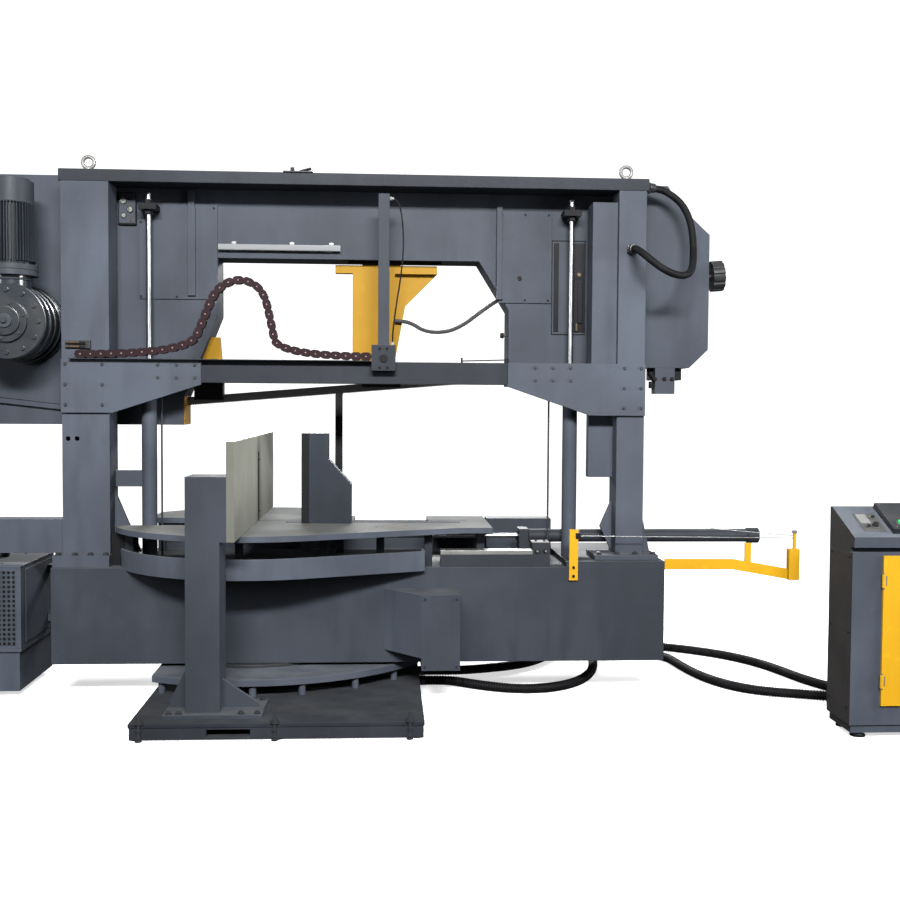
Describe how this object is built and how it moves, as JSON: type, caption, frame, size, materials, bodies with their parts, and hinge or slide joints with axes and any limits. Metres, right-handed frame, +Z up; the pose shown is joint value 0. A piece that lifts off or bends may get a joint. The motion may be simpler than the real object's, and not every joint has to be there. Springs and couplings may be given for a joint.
{
  "type": "double column mitre band saw",
  "caption": "Metal-cutting band saw: a canted saw bow slides down two columns on a swivelling beam over a round table with a fence, a hydraulic vice jaw and a separate control console",
  "frame": {"origin": "on the floor under the swivel axis, where the fence face meets the plane of the blade", "axes": "+X along the beam from the drive wheel to the idler, +Y through the machine away from the operator, +Z up"},
  "size_m": [5.146, 2.1615, 2.6882],
  "materials": {
    "dark_paint": "fine textured satin",
    "deep_paint": "fine textured satin",
    "yellow_paint": "satin",
    "machined_steel": "milled",
    "blade_steel": "ground",
    "hard_chrome": "polished",
    "wheel_iron": "turned rim",
    "motor_paint": "painted",
    "bolt_steel": "blackened",
    "black_rubber": "satin",
    "chain_plastic": "matt",
    "black_plastic": "matt",
    "lamp_metal": "satin",
    "screen_glass": "gloss",
    "red_plastic": "gloss",
    "green_plastic": "gloss"
  },
  "bodies": {
    "base": {"base_frame": "deep_paint", "levelling_feet": "bolt_steel", "base_plate": "dark_paint", "track_posts": "dark_paint", "track_plate": "dark_paint", "fence_pillars": "dark_paint", "fence_plates": "machined_steel", "conduit_glands": "black_plastic", "conduit_front": "black_rubber", "conduit_rear": "black_rubber", "console_body": "dark_paint", "console_panel": "deep_paint", "console_screen": "screen_glass"},
    "swivel": {"slew_ring": "machined_steel", "main_beam": "dark_paint", "drive_housing": "dark_paint", "chip_tray": "dark_paint", "table_plate": "machined_steel", "table_posts": "dark_paint", "left_column": "dark_paint", "right_column": "dark_paint", "top_beam": "dark_paint", "gate_bolts": "bolt_steel", "cross_member": "dark_paint", "cross_plates": "dark_paint", "guide_rails": "machined_steel", "lift_barrels": "dark_paint", "switch_post": "dark_paint", "energy_chain": "chain_plastic", "column_conduit": "black_rubber", "vice_rail": "machined_steel", "vice_cylinder": "deep_paint", "switch_cable": "black_rubber", "trip_brackets": "yellow_paint", "trip_wires": "blade_steel", "hydraulic_cabinet": "dark_paint"},
    "bow": {"bow_frame": "dark_paint", "bow_covers": "dark_paint", "bow_carriages": "bolt_steel", "lift_rods": "hard_chrome", "motor": "motor_paint", "gear_box": "motor_paint", "saw_blade": "blade_steel", "fixed_guide": "yellow_paint", "guide_rail": "machined_steel", "work_lamp": "lamp_metal"},
    "drive_wheel": {"drive_wheel": "wheel_iron"},
    "tension_slide": {"tension_slide": "machined_steel"},
    "idler_wheel": {"idler_wheel": "wheel_iron"},
    "tension_knob": {"tension_knob": "black_plastic"},
    "guide": {"guide_bracket": "yellow_paint", "guide_hose": "black_rubber"},
    "jaw": {"moving_jaw": "dark_paint"},
    "rear_door_left": {"rear_door_left": "dark_paint"},
    "rear_door_right": {"rear_door_right": "dark_paint"},
    "console_door": {"console_door": "yellow_paint"},
    "start_button": {"start_button": "green_plastic"},
    "stop_button": {"stop_button": "black_plastic"},
    "emergency_stop": {"emergency_stop": "red_plastic"},
    "selector_knob": {"selector_knob": "black_plastic"}
  },
  "joints": [
    {"name": "swivel_turn", "type": "hinge", "parent": "base", "child": "swivel", "pos_m": [0, 0, 0], "axis": [0, 0, 1], "range_deg": [0, 40]},
    {"name": "bow_slide", "type": "slide", "parent": "swivel", "child": "bow", "axis": [0, 0, 1], "range_m": [-0.66, 0]},
    {"name": "drive_spin", "type": "hinge", "parent": "bow", "child": "drive_wheel", "pos_m": [-1.15, 0, 1.8513], "axis": [0, 1, 0], "continuous": true},
    {"name": "tension_move", "type": "slide", "parent": "bow", "child": "tension_slide", "axis": [0.9965, 0, 0.0837], "range_m": [-0.015, 0]},
    {"name": "idler_spin", "type": "hinge", "parent": "tension_slide", "child": "idler_wheel", "pos_m": [1.87037, 0, 2.10493], "axis": [0, 1, 0], "continuous": true},
    {"name": "knob_turn", "type": "hinge", "parent": "bow", "child": "tension_knob", "pos_m": [1.87037, -0.062, 2.10493], "axis": [0.9965, 0, 0.0837], "range_deg": [0, 1080]},
    {"name": "guide_move", "type": "slide", "parent": "bow", "child": "guide", "axis": [0.9965, 0, 0.0837], "range_m": [-0.06, 0.2], "deforming": ["guide_hose"]},
    {"name": "jaw_move", "type": "slide", "parent": "swivel", "child": "jaw", "axis": [1, 0, 0], "range_m": [-0.215, 0.6]},
    {"name": "door_left_swing", "type": "hinge", "parent": "bow", "child": "rear_door_left", "pos_m": [-1.638, 0.1105, 1.98], "axis": [0, 0, 1], "range_deg": [0, 100]},
    {"name": "door_right_swing", "type": "hinge", "parent": "bow", "child": "rear_door_right", "pos_m": [2.35337, 0.1105, 2], "axis": [0, 0, -1], "range_deg": [0, 100]},
    {"name": "console_door_swing", "type": "hinge", "parent": "base", "child": "console_door", "pos_m": [2.847, -1.151, 0.45], "axis": [0, 0, -1], "range_deg": [0, 110]},
    {"name": "start_button_press", "type": "slide", "parent": "base", "child": "start_button", "axis": [0, 0.4116, -0.9114], "range_m": [0, 0.004], "stiffness_N_per_m": 600, "springref_m": -0.003},
    {"name": "stop_button_press", "type": "slide", "parent": "base", "child": "stop_button", "axis": [0, 0.4116, -0.9114], "range_m": [0, 0.004], "stiffness_N_per_m": 600, "springref_m": -0.003},
    {"name": "emergency_stop_press", "type": "slide", "parent": "base", "child": "emergency_stop", "axis": [0, 0.4116, -0.9114], "range_m": [0, 0.004], "stiffness_N_per_m": 600, "springref_m": -0.003},
    {"name": "selector_turn", "type": "hinge", "parent": "base", "child": "selector_knob", "pos_m": [3.362, -1.07527, 0.92975], "axis": [0, -0.4116, 0.9114], "range_deg": [-45, 45]}
  ],
  "couplings": [
    {"joint": "idler_spin", "follows": "drive_spin", "ratio": 1},
    {"joint": "knob_turn", "follows": "tension_move", "rad_per_m": -1256.6}
  ]
}
